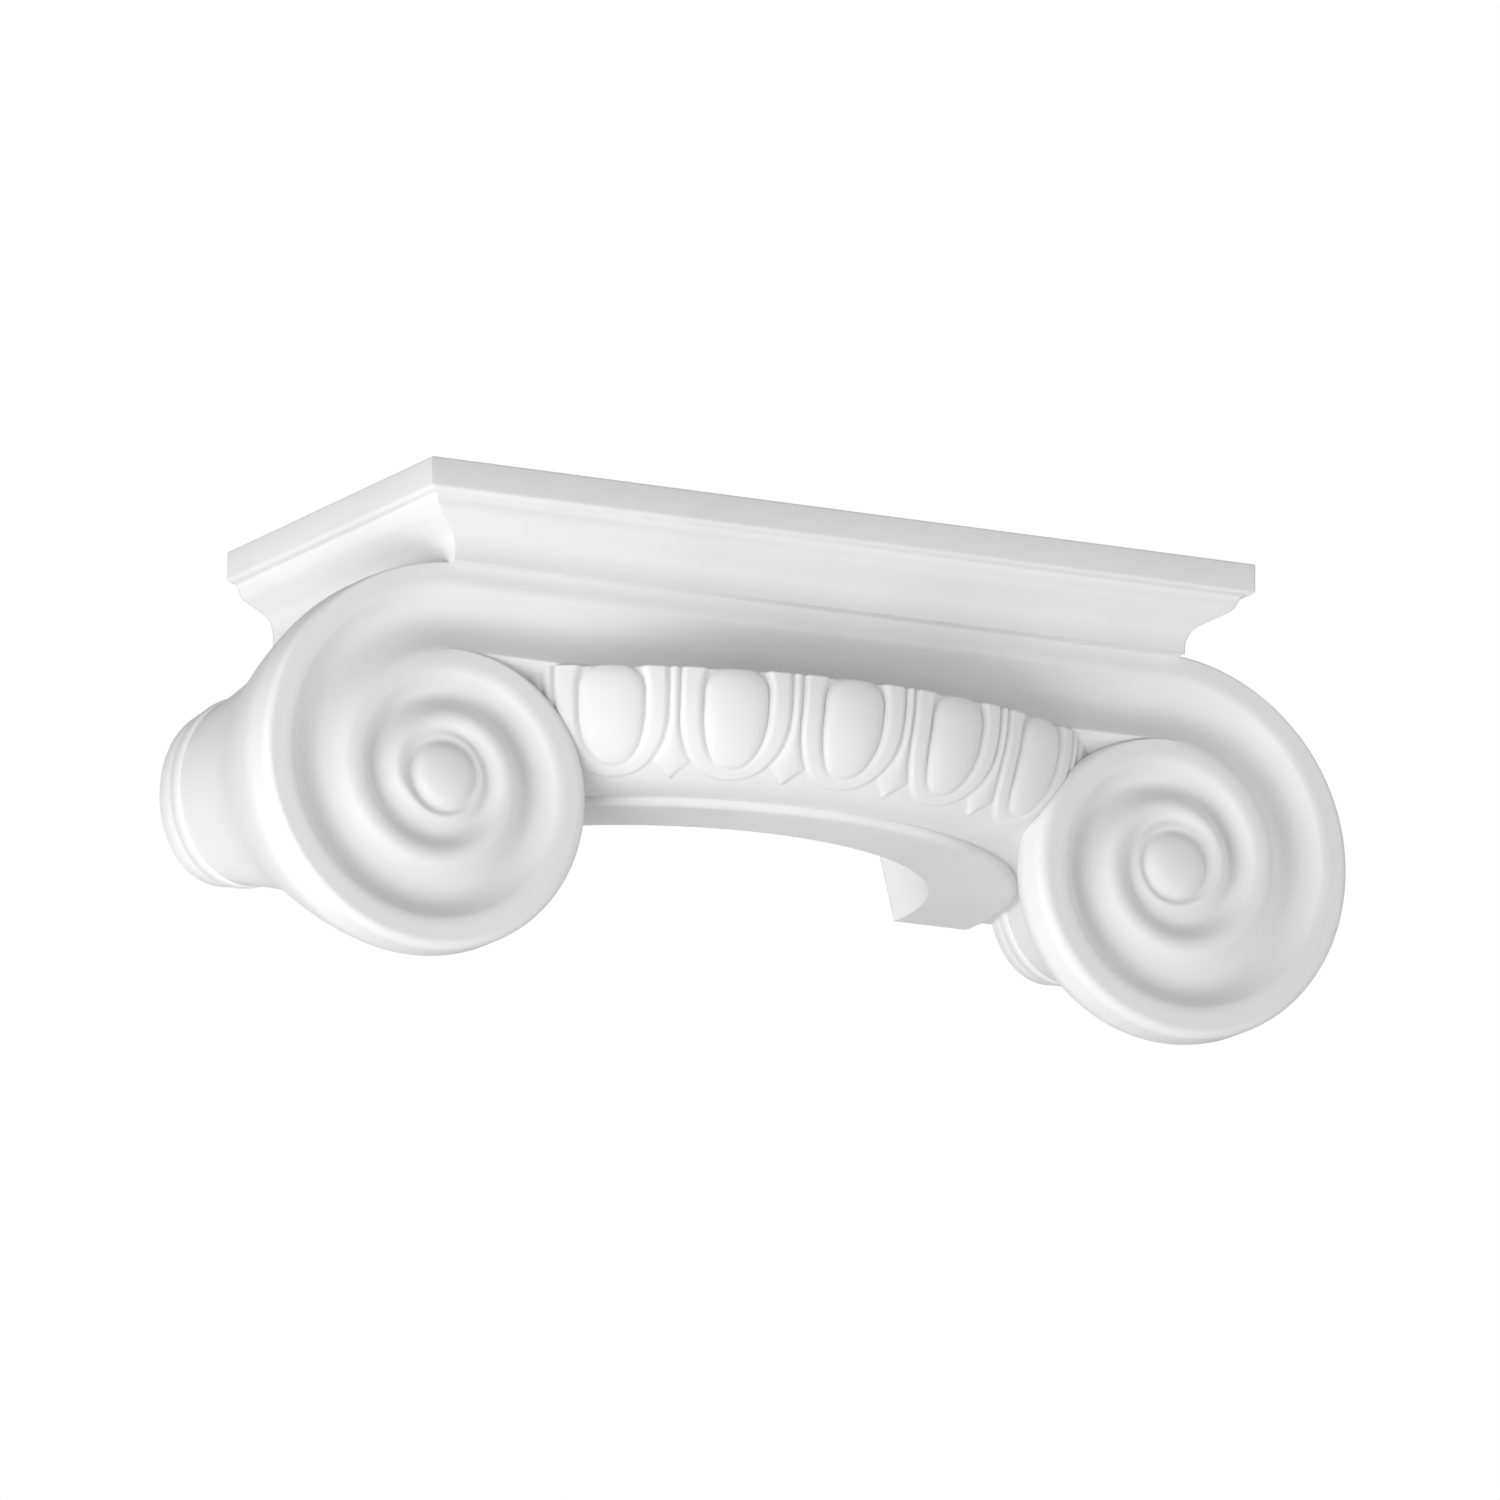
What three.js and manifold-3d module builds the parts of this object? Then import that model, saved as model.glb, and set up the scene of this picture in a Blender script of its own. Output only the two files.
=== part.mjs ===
// Half ionic capital: one moulded body, cut flat where it meets the wall.
// Millimetres, +Z up. The wall face is the plane y = 0 and the front looks along -Y.
// The origin lies on the wall face, on the centre line, datumDrop below the top of the abacus.
import * as THREE from 'three';
import { mergeVertices } from 'three/addons/utils/BufferGeometryUtils.js';
import Module from 'manifold-3d';

const wasm = await Module();
wasm.setup();

// Abacus, the square slab on top, cut in half by the wall
const abacusWidth = 310;
const abacusDepth = 155;
const fasciaHeight = 9.6;
const mouldingHeight = 16.9; // from the fascia's lower edge to the neck
const mouldingSetback = 17.4; // neck behind the fascia, at the front and both sides
const datumDrop = 31;

// Volutes and the channel, the canalis, that runs across between them
const volutePlaneSetback = 22; // front of the rims behind the front of the abacus
const voluteDrop = 2.9; // top of the rim under the abacus moulding
const rimRadius = 68; // from the eye to the middle of the rim, straight above the eye
const quarterRatio = 0.883; // rim radius from one quarter turn to the next
const quarterTightening = 0.996; // and how that ratio closes towards the eye
const spiralQuarters = 10;
const rimWidth = 7.7; // flat rim of the outer turn
const innerRimWidth = 4.2; // crest of the turns inside it
const channelDepth = 8;
const channelFill = 1.3; // how much faster the channel narrows than it gets shallow
const voluteThickness = 13; // from the rim plane to where the bolster starts to taper
const sideSwell = 1.8; // how far a volute's side stands out round its rim, above the eye
const sideSwellPerQuarter = 0.6; // and how much more for each quarter turn
const swellDepth = 4; // over which it rounds out behind the rim
const eyeRadius = 10.8;
const eyeGap = 1.5; // groove round the eye
const eyeGapDepth = 3.4;
const eyeCrown = 3.2;

// Bolsters, the bells that run from the volutes back to the wall
const bolsterHalfWidth = 19.9; // of the oval end at the wall
const bolsterHalfHeight = 28;
const bolsterSpread = 20.2; // oval's centre outside the eye
const bolsterRise = 15.2; // oval's centre above the eye
const bolsterInset = 0.3; // its outline inside that of the rim
const bandLength = 20; // beaded band next to the wall
const beadHeight = 1.7;

// Block behind the echinus, and the soffit that slopes back from the canalis down to it
const coreFront = 107; // in front of the wall
const webDepth = 12;
const webHeight = 12;

// Echinus, the bowed ovolo of eggs and darts
const echinusProjection = 9.2; // foremost point in front of the abacus
const echinusRadius = 175;
const echinusHeight = 37;
const echinusDepth = 60; // from its face back into the block
const lipReveal = 0.9; // lip under the lower edge of the canalis
const lipWidth = 18; // over which its top slopes up to the canalis
const lipRise = 1.2;
const ovoloTurnIn = 26; // half axes of the ellipse that its profile follows
const ovoloReach = 39.5;
const eggCount = 7;
const eggAngle = 14; // degrees from one egg to the next
const eggHalfWidth = 11;
const eggLength = 32.5;
const eggWaist = 14; // down to where it starts to round off
const eggShoulder = 9; // down to where its top starts to round off
const eggTopShare = 0.9; // how far its oval has closed at the lip
const cupPinch = 0.15; // share of its width that the shells' hollow loses up to the lip
const shellLength = 36.5;
const lipRelief = 2.6; // from the ground to the eggs, at the lip and at the foot
const footRelief = 6;
const grooveDepth = 3.2; // between egg and shell
const shellRise = 1.5;
const dartRise = 1.5;
const dartLength = 36.6;
const dartHalfWidth = 1.4;
const dartGap = 0.4; // groove between a dart and the shells on both sides
const dartHeadHalfWidth = 6.4;
const dartPoint = 1.2; // half width of its point for each millimetre up from the tip

// Seat for the half-round shaft: a raised ring round a tapered socket
const socketRadius = 100;
const socketTopRadius = 91;
const socketDepth = 35;
const seatRadius = 130;
const seatHeight = 3;
const seatRounding = 3; // how far its lower edge rounds in

const clamp = (value) => Math.min(1, Math.max(0, value));
const smooth = (value) => clamp(value) ** 2 * (3 - 2 * clamp(value));
const mix = (from, to, share) => from + (to - from) * share;

const neckHalf = abacusWidth / 2 - mouldingSetback;
const abacusHeight = fasciaHeight + mouldingHeight;
const rimPlane = volutePlaneSetback - abacusDepth;
const eyeDrop = abacusHeight + voluteDrop + rimWidth / 2 + rimRadius;
const spiralTurn = 4; // quarters in a turn
const lipDrop = eyeDrop - rimOuter(spiralTurn);
const echinusTop = lipDrop + lipReveal;
const undersideDrop = echinusTop + echinusHeight;
const seatDrop = undersideDrop + seatHeight;
const echinusCentre = echinusRadius - abacusDepth - echinusProjection;
const eggPitchAngle = eggAngle * Math.PI / 180;
const eggPitch = echinusRadius * eggPitchAngle;
const embed = 1; // overlap of neighbouring forms inside the one body

const at = (x, y, drop) => new THREE.Vector3(x, y, datumDrop - drop);

// A geometry as a manifold solid, and back
function toSolid(geometry) {
  const bare = geometry.clone();
  bare.deleteAttribute('normal');
  bare.deleteAttribute('uv');
  const merged = mergeVertices(bare, 1e-4);
  return new wasm.Manifold(new wasm.Mesh({
    numProp: 3,
    vertProperties: new Float32Array(merged.attributes.position.array),
    triVerts: new Uint32Array(merged.index.array),
  }));
}

function toGeometry(solid) {
  const mesh = solid.getMesh();
  const geometry = new THREE.BufferGeometry();
  geometry.setAttribute('position', new THREE.BufferAttribute(mesh.vertProperties, mesh.numProp));
  geometry.setIndex(new THREE.BufferAttribute(mesh.triVerts, 1));
  geometry.computeVertexNormals();
  return geometry;
}

function indexedGeometry(points, triangles) {
  const geometry = new THREE.BufferGeometry().setFromPoints(points);
  geometry.setIndex(triangles);
  return geometry;
}

// A mesh with its faces turned out, whichever way round it was built
function turnedOut(points, triangles) {
  let volume = 0;
  for (let i = 0; i < triangles.length; i += 3) {
    const [a, b, c] = triangles.slice(i, i + 3).map((index) => points[index]);
    volume += a.dot(b.clone().cross(c));
  }
  if (volume < 0) {
    for (let i = 0; i < triangles.length; i += 3) {
      [triangles[i + 1], triangles[i + 2]] = [triangles[i + 2], triangles[i + 1]];
    }
  }
  return indexedGeometry(points, triangles);
}

// A solid through loops of equal length, its ends closed by a fan round their middle
function loft(loops) {
  const size = loops[0].length;
  const points = loops.flat();
  const triangles = [];
  for (let row = 0; row + 1 < loops.length; row += 1) {
    for (let i = 0; i < size; i += 1) {
      const [a, b] = [row * size + i, row * size + (i + 1) % size];
      triangles.push(a, b, b + size, a, b + size, a + size);
    }
  }
  for (const row of [0, loops.length - 1]) {
    const middle = points.length;
    points.push(loops[row].reduce((sum, point) => sum.add(point), new THREE.Vector3()).divideScalar(size));
    for (let i = 0; i < size; i += 1) {
      const edge = [row * size + i, row * size + (i + 1) % size];
      triangles.push(middle, ...(row === 0 ? edge.reverse() : edge));
    }
  }
  return turnedOut(points, triangles);
}

// A relief sheet made solid: the same sheet again, flat on the plane y = back, and walls round its edge.
// The walls swell out by the offset given for an edge point, over the first share of their depth.
function backedSheet(points, triangles, swells, share, back) {
  const size = points.length;
  const all = points.slice();
  const swollen = (point, index, y) => point.clone().add(swells.get(index) ?? new THREE.Vector3()).setY(y);
  points.forEach((point, index) => all.push(swollen(point, index, back)));
  const faces = triangles.slice();
  const open = new Map();
  for (let i = 0; i < triangles.length; i += 3) {
    const corners = triangles.slice(i, i + 3);
    faces.push(corners[0] + size, corners[2] + size, corners[1] + size);
    corners.forEach((from, side) => {
      const to = corners[(side + 1) % 3];
      if (!open.delete(`${to}/${from}`)) open.set(`${from}/${to}`, [from, to]);
    });
  }
  const middles = new Map();
  const middle = (index) => {
    if (!middles.has(index)) {
      const depth = mix(points[index].y, back, share);
      middles.set(index, all.push(swollen(points[index], index, depth)) - 1);
    }
    return middles.get(index);
  };
  for (const [from, to] of open.values()) {
    const [near, far] = [middle(from), middle(to)];
    faces.push(to, from, near, to, near, far, far, near, from + size, far, from + size, to + size);
  }
  return turnedOut(all, faces);
}

// Abacus: rectangles down the moulding's profile, mitred at the corners, its back on the wall
function abacus() {
  // shares of the setback and of the moulding's height: fillet, quarter round, slope, hollow
  const moulding = [
    [0, 0], [0.07, 0.06], [0.19, 0.08], [0.24, 0.18], [0.28, 0.29], [0.36, 0.38],
    [0.5, 0.46], [0.68, 0.56], [0.85, 0.67], [0.95, 0.81], [1, 1],
  ];
  const profile = [[0, 0]].concat(moulding.map(([inwards, down]) => (
    [inwards * mouldingSetback, fasciaHeight + down * mouldingHeight])));
  profile.push([mouldingSetback, abacusHeight + voluteDrop]);
  return loft(profile.map(([inwards, drop]) => {
    const side = abacusWidth / 2 - inwards;
    const front = inwards - abacusDepth;
    return [at(-side, 0, drop), at(-side, front, drop), at(side, front, drop), at(side, 0, drop)];
  }));
}

// The block behind the carving, from the neck to the underside, stepped back under the canalis
function core() {
  const behindCanalis = rimPlane + voluteThickness - embed;
  const levels = [
    [behindCanalis, abacusHeight - embed], [behindCanalis, lipDrop - embed],
    [-coreFront, lipDrop - embed], [-coreFront, undersideDrop],
  ];
  return loft(levels.map(([front, drop]) => [
    at(-neckHalf, 0, drop), at(-neckHalf, front, drop), at(neckHalf, front, drop), at(neckHalf, 0, drop),
  ]));
}

// The soffit of the canalis: a sloping web that closes the corner between canalis, volute and echinus
function web() {
  const top = lipDrop - embed * 2;
  const foot = lipDrop + webHeight;
  const back = embed - coreFront;
  return loft([-neckHalf, neckHalf].map((x) => [
    at(x, rimPlane + embed * 0.4, lipDrop), at(x, rimPlane + webDepth, foot), at(x, back, foot),
    at(x, back, top), at(x, rimPlane + voluteThickness - embed, top),
  ]));
}

// Spiral, by quarter turns: 0 above the eye, 1 at the outer side, 2 below, 3 at the inner side
function rimWidthAt(quarter) {
  return mix(rimWidth, innerRimWidth, smooth((quarter - spiralTurn + 0.4) / 2.4));
}

function rimOuter(quarter) {
  const middle = rimRadius * quarterRatio ** quarter * quarterTightening ** (quarter ** 2);
  const free = middle + rimWidthAt(quarter) / 2;
  const socket = eyeRadius + eyeGap;
  return mix(free, socket, smooth(quarter - spiralQuarters + 1));
}

function swellAt(quarter) {
  const fullness = smooth(quarter / 0.8) * smooth((spiralTurn - 0.1 - quarter) / 0.8);
  return (sideSwell + sideSwellPerQuarter * quarter) * fullness;
}

// Sections of the channel, share of its width from the rim inwards and share of its depth:
// on the outer turn, and on the turns inside it
const outerChannel = [
  [0, 0], [0.1, 0.38], [0.2, 0.7], [0.32, 0.93], [0.47, 1], [0.68, 0.78], [0.87, 0.34],
];
const innerChannel = [
  [0, 0], [0.11, 0.18], [0.22, 0.5], [0.36, 0.87], [0.52, 1], [0.7, 0.78], [0.87, 0.3],
];

function spiralSection(quarter) {
  const outer = rimOuter(quarter);
  const socket = eyeRadius + eyeGap;
  const next = quarter + spiralTurn <= spiralQuarters ? rimOuter(quarter + spiralTurn) : socket;
  const rim = Math.min(rimWidthAt(quarter), (outer - next) / 2);
  const depth = channelDepth * clamp((outer - next) / (rimOuter(0) - rimOuter(spiralTurn)) * channelFill);
  const turnedIn = smooth((quarter - spiralTurn + 1) / 2);
  const section = [[outer, 0]];
  outerChannel.forEach((point, i) => {
    const [across, down] = point.map((value, axis) => mix(value, innerChannel[i][axis], turnedIn));
    section.push([mix(outer - rim, next, across), down * depth]);
  });
  section.push([next, 0]);
  return section;
}

// Front of one volute with its half of the canalis, as a sheet of shared points
function voluteFront(side) {
  const stepsPerTurn = 36;
  const steps = stepsPerTurn * spiralQuarters / spiralTurn;
  const canalisSteps = 3;
  const points = [];
  const rows = [];
  const swells = new Map();
  const add = (x, y, drop) => points.push(at(side * x, y, drop)) - 1;
  for (let i = 0; i <= steps; i += 1) {
    const quarter = i * spiralTurn / stepsPerTurn;
    const angle = quarter * Math.PI / 2;
    const section = spiralSection(quarter);
    rows.push(section.map(([radius, depth], j) => {
      if (i === steps && j > 0) return null;
      if (j === 0 && i > stepsPerTurn) return null;
      return add(neckHalf + radius * Math.sin(angle), rimPlane + depth, eyeDrop - radius * Math.cos(angle));
    }));
    if (i > 0 && i < stepsPerTurn) {
      const swell = swellAt(quarter);
      const outwards = new THREE.Vector3(side * Math.sin(angle) * swell, 0, Math.cos(angle) * swell);
      swells.set(rows[i][0], outwards);
    }
  }
  const last = rows[0].length - 1;
  // the inner edge of one turn is the rim edge of the next, down to the ring round the eye
  for (let i = 0; i <= steps; i += 1) {
    if (i + stepsPerTurn <= steps) {
      const shared = rows[i][last];
      if (i > 0) rows[i + stepsPerTurn][0] = shared;
      else points[rows[stepsPerTurn][0]].copy(points[shared]);
    }
  }
  rows[stepsPerTurn][0] = rows[0][last];
  for (let j = 1; j <= last; j += 1) rows[steps][j] = rows[steps][0];
  const triangles = [];
  const quad = (a, b, c, d) => {
    for (const face of [[a, b, c], [a, c, d]]) {
      if (new Set(face).size === 3) triangles.push(...face);
    }
  };
  const strip = (first, second) => {
    for (let j = 0; j < last; j += 1) quad(first[j], second[j], second[j + 1], first[j + 1]);
  };
  for (let i = 0; i < steps; i += 1) strip(rows[i], rows[i + 1]);
  const section = spiralSection(0);
  let previous = section.map(([radius, depth]) => add(0, rimPlane + depth, eyeDrop - radius));
  for (let i = 1; i <= canalisSteps; i += 1) {
    const next = i === canalisSteps ? rows[0] : section.map(([radius, depth]) => (
      add(neckHalf * i / canalisSteps, rimPlane + depth, eyeDrop - radius)));
    strip(previous, next);
    previous = next;
  }
  // eye: a crowned button in its groove
  const ringSteps = [
    [eyeRadius + eyeGap * 0.8, eyeGapDepth], [eyeRadius, eyeGapDepth],
    ...[0.94, 0.75, 0.4].map((share) => (
      [eyeRadius * share, eyeCrown * (0.45 - Math.sqrt(1 - share ** 2))])),
  ];
  let ring = rows.slice(steps - stepsPerTurn, steps).map((row) => row[last]);
  for (const [radius, depth] of ringSteps) {
    const inner = ring.map((unused, i) => {
      const angle = (steps + i) * Math.PI * 2 / stepsPerTurn;
      return add(neckHalf + radius * Math.sin(angle), rimPlane + depth, eyeDrop - radius * Math.cos(angle));
    });
    ring.forEach((point, i) => {
      const after = (i + 1) % ring.length;
      quad(point, ring[after], inner[after], inner[i]);
    });
    ring = inner;
  }
  const tip = add(neckHalf, rimPlane - eyeCrown * 0.55, eyeDrop);
  ring.forEach((point, i) => triangles.push(point, ring[(i + 1) % ring.length], tip));
  return backedSheet(points, triangles, swells, swellDepth / voluteThickness, rimPlane + voluteThickness);
}

// Bolster: from the volute's outline to an oval at the wall, with a beaded band
function bolster(side) {
  const around = 38;
  const start = rimPlane + voluteThickness - embed * 2;
  // the rim's own outline, led back up over the last part of its turn, inside the body
  const leadFrom = 3.4;
  const outline = (quarter) => {
    const back = smooth((quarter - leadFrom) / (spiralTurn - leadFrom));
    return mix(rimOuter(quarter) + swellAt(quarter), rimOuter(0), back) - bolsterInset;
  };
  const loop = (y, share, swell) => Array.from({ length: around }, (unused, i) => {
    const quarter = i * spiralTurn / around;
    const [sine, cosine] = [Math.sin(quarter * Math.PI / 2), Math.cos(quarter * Math.PI / 2)];
    const radius = outline(quarter);
    const spread = mix(bolsterSpread + (bolsterHalfWidth + swell) * sine, radius * sine, share);
    const rise = mix(bolsterRise + (bolsterHalfHeight + swell) * cosine, radius * cosine, share);
    return at(side * (neckHalf + spread), y, eyeDrop - rise);
  });
  // share of the way from volute to band, share of the volute's outline
  const bell = [
    [0, 1], [0.05, 0.985], [0.12, 0.925], [0.22, 0.82], [0.34, 0.675], [0.45, 0.53], [0.54, 0.425],
    [0.62, 0.345], [0.7, 0.28], [0.82, 0.205], [1, 0.105],
  ];
  const bandShare = bell.at(-1)[1];
  const loops = bell.map(([along, share]) => loop(mix(start, -bandLength, along), share, 0));
  // share of the band's length, share of the beads' height: two beads and the hollow between them
  const beads = [
    [0.02, 0.4], [0.14, 0.93], [0.28, 1], [0.4, 0.65], [0.48, 0.6], [0.6, 0.95], [0.92, 1], [1, 0.75],
  ];
  for (const [along, swell] of beads) {
    loops.push(loop(-bandLength * (1 - along), bandShare * (1 - along), beadHeight * swell));
  }
  return loft(loops);
}

// How far egg, shell or dart lie under the eggs' crest at a place on the ovolo
function eggAndDart(sideways, down) {
  const roundness = 2.3; // 2 would make the ovals ellipses
  const oval = (...sides) => sides.reduce((sum, value) => sum + value ** roundness, 0) ** (1 / roundness);
  const past = (length) => Math.max(0, down - eggWaist) / (length - eggWaist);
  const nearLip = Math.max(0, 1 - down / eggShoulder);
  const across = Math.abs(sideways) / eggHalfWidth;
  const shellHalfWidth = eggPitch / 2 - dartHalfWidth - dartGap;
  const egg = oval(across, past(eggLength), nearLip * eggTopShare);
  const cup = oval(across / (1 - cupPinch * nearLip ** 2), past(eggLength));
  const shell = oval(Math.abs(sideways) / shellHalfWidth, past(shellLength));
  const ground = mix(lipRelief, footRelief, (down / echinusHeight) ** 4);
  const crest = ground - shellRise;
  const groove = Math.max(grooveDepth, crest + 0.4);
  if (egg < 1) return groove * (1 - (1 - egg ** 2) ** 0.45);
  if (shell < 1) {
    // up from the groove to a broad crest, then down a narrow outer edge
    const beyond = Math.max(0, cup - 1);
    const share = beyond / (beyond + (1 - shell) * 1.4);
    if (share < 0.5) return mix(groove, crest, smooth(share / 0.34));
    return mix(crest, ground, smooth((share - 0.84) / 0.16));
  }
  // a dart fills the space between two shells, out to its head, and ends in a point
  const shellShare = (1 - Math.min(1, past(shellLength)) ** roundness) ** (1 / roundness);
  const space = eggPitch / 2 - shellHalfWidth * shellShare;
  const halfWidth = Math.min(space - dartGap, dartHeadHalfWidth, (dartLength - down) * dartPoint);
  const offset = eggPitch / 2 - Math.abs(sideways);
  return offset < halfWidth ? ground - dartRise * (1 - (offset / halfWidth) ** 2) ** 0.6 : ground;
}

// Echinus: a bowed sector whose front is a grid over the eggs, built as loops from side to side
function echinus() {
  const eggColumns = [
    -0.46, -0.42, -0.325, -0.262, -0.2, -0.1, 0, 0.1, 0.2, 0.262, 0.325, 0.42, 0.46, 0.5,
  ];
  const columns = [-0.5];
  for (let egg = 0; egg < eggCount; egg += 1) columns.push(...eggColumns.map((share) => egg + share));
  const shares = [0, 0.07, 0.17, 0.34, 0.5, 0.62, 0.71, 0.78, 0.84, 0.89, 0.94, 0.985];
  const innerRadius = echinusRadius - echinusDepth;
  return loft(columns.map((column) => {
    const angle = (column - (eggCount - 1) / 2) * eggPitchAngle;
    const sideways = (column - Math.round(column)) * eggPitch;
    const place = (radius, drop) => (
      at(radius * Math.sin(angle), echinusCentre - radius * Math.cos(angle), drop));
    const section = [
      place(innerRadius, echinusTop - lipRise), place(echinusRadius - lipWidth, echinusTop - lipRise),
    ];
    for (const share of shares) {
      const down = share * echinusHeight;
      const reach = Math.sqrt(1 - (down / ovoloReach) ** 2);
      const slope = ovoloTurnIn * down / ovoloReach ** 2 / reach;
      const tilt = Math.hypot(1, slope);
      const sunk = eggAndDart(sideways, down);
      const radius = echinusRadius - ovoloTurnIn * (1 - reach);
      section.push(place(radius - sunk / tilt, echinusTop + down - sunk * slope / tilt * 0.5));
    }
    section.push(place(echinusRadius - ovoloTurnIn, undersideDrop), place(innerRadius, undersideDrop));
    return section;
  }));
}

// Half disc about the origin's axis, as loops of a given radius at a given drop
function halfRound(levels, overhang) {
  const around = 40;
  return loft(levels.map(([radius, drop]) => {
    const loop = [];
    for (let i = 0; i <= around; i += 1) {
      const angle = Math.PI * (i / around - 0.5);
      loop.push(at(radius * Math.sin(angle), -radius * Math.cos(angle), drop));
    }
    if (overhang > 0) loop.push(at(radius, overhang, drop), at(-radius, overhang, drop));
    return loop;
  }));
}

// Raised seat ring, and the tapered socket that is cut through it
const seat = () => halfRound([
  [seatRadius, undersideDrop - embed], [seatRadius, undersideDrop + seatHeight * 0.3],
  [seatRadius - seatRounding * 0.3, undersideDrop + seatHeight * 0.75], [seatRadius - seatRounding, seatDrop],
], 0);
const socketTaper = (socketRadius - socketTopRadius) / socketDepth;
const socketCut = () => halfRound([
  [socketTopRadius, seatDrop - socketDepth], [socketRadius, seatDrop],
  [socketRadius + socketTaper * embed, seatDrop + embed],
], embed);

const primedFoam = new THREE.MeshStandardMaterial({ color: 0xf1f1ef, roughness: 0.62, metalness: 0 });

function capital() {
  const forms = [abacus(), core(), web(), echinus(), seat()];
  for (const side of [-1, 1]) forms.push(voluteFront(side), bolster(side));
  const whole = forms.map(toSolid).reduce((sum, form) => sum.add(form));
  return toGeometry(whole.subtract(toSolid(socketCut())));
}

const body = new THREE.Mesh(capital(), primedFoam);
body.name = 'half_capital';

const part = new THREE.Group();
part.name = 'half_ionic_capital';
part.add(body);

export default part;
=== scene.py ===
# Half ionic capital: one moulding, primed white, fixed by its flat back above a half-round shaft.
# Shapes are worked out in millimetres and made into metres in toBmesh. +Z is up, the front looks along -Y.
import math

import bmesh
import bpy
import numpy as np
from mathutils import Matrix, Vector


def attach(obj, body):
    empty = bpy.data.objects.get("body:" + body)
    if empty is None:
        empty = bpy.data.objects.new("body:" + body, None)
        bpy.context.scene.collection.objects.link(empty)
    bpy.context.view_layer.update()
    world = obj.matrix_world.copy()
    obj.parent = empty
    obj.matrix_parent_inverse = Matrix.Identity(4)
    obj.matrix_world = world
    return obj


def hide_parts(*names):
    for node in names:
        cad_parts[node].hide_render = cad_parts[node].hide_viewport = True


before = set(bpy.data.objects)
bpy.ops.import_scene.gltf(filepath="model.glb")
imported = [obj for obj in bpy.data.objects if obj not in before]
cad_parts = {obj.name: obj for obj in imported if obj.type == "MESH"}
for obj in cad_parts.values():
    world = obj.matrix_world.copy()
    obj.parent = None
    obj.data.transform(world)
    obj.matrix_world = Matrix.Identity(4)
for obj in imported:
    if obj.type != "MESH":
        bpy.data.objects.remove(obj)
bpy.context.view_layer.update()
print("frame loaded")

mm = 0.001
datumDrop = 31  # top of the abacus above the origin
embed = 1  # how far neighbouring forms reach into each other inside the one body


def clamp(value):
    return np.clip(value, 0.0, 1.0)


def smooth(value):
    return clamp(value) ** 2 * (3 - 2 * clamp(value))


def mix(start, end, share):
    return start + (end - start) * share


# points from across, depth and drop below the top of the abacus
def at(x, y, drop):
    return np.stack(np.broadcast_arrays(x, y, datumDrop - np.asarray(drop, float)), -1)


# a smooth line through points, with the same number of steps between each pair
def smoothLine(points, steps, levelStart=False):
    p = np.array(points, float)
    before = 2 * p[0] - p[1]
    if levelStart:
        before[1:] = p[1][1:]
    p = np.vstack([before, p, 2 * p[-1] - p[-2]])
    line = []
    for a, b, c, d in zip(p, p[1:], p[2:], p[3:]):
        for t in np.arange(steps) / steps:
            bend = (2 * a - 5 * b + 4 * c - d) * t ** 2 + (3 * b - 3 * c + d - a) * t ** 3
            line.append(b + ((c - a) * t + bend) / 2)
    line.append(p[-2])
    return np.array(line)


def gridFaces(rows, columns, closed=False, first=0):
    faces = []
    for i in range(rows - 1):
        for j in range(columns if closed else columns - 1):
            a, b = first + i * columns + j, first + i * columns + (j + 1) % columns
            faces.append((a, b, b + columns, a + columns))
    return faces


def toBmesh(points, faces):
    bm = bmesh.new()
    verts = [bm.verts.new(point) for point in points * mm]
    for face in faces:
        bm.faces.new([verts[i] for i in face])
    return bm


def toObject(bm, name):
    bmesh.ops.recalc_face_normals(bm, faces=bm.faces[:])
    mesh = bpy.data.meshes.new(name)
    bm.to_mesh(mesh)
    bm.free()
    obj = bpy.data.objects.new(name, mesh)
    bpy.context.scene.collection.objects.link(obj)
    return obj


# a solid through closed loops of equal length, its two ends capped
def loft(name, loops):
    rows, size = len(loops), len(loops[0])
    bm = toBmesh(np.concatenate(loops), gridFaces(rows, size, closed=True))
    bm.verts.ensure_lookup_table()
    caps = [bm.faces.new([bm.verts[row * size + j] for j in range(size)]) for row in (0, rows - 1)]
    bmesh.ops.triangulate(bm, faces=caps)
    return toObject(bm, name)


def combine(target, tool, operation):
    modifier = target.modifiers.new(operation, "BOOLEAN")
    modifier.operation = operation
    modifier.solver = "MANIFOLD"
    modifier.object = tool
    depsgraph = bpy.context.evaluated_depsgraph_get()
    result = bpy.data.meshes.new_from_object(target.evaluated_get(depsgraph))
    target.modifiers.clear()
    target.data = result
    bpy.data.objects.remove(tool)


abacusSettings = {
    "width": 310,
    "depth": 155,
    "fascia": 9.6,
    "edgeRounding": 0.5,
    # inwards from the fascia and down from its lower edge
    "fillet": [[0, 0], [1.2, 1.0], [3.3, 1.35]],
    "moulding": [[3.3, 1.35], [4.2, 3.0], [4.9, 4.9], [6.3, 6.4], [8.7, 7.8], [11.8, 9.5],
                 [14.8, 11.3], [16.5, 13.7], [17.4, 16.9]],
    "neckBelow": 2.9,
}
neckHalf = abacusSettings["width"] / 2 - abacusSettings["moulding"][-1][0]
abacusHeight = abacusSettings["fascia"] + abacusSettings["moulding"][-1][1]


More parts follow.
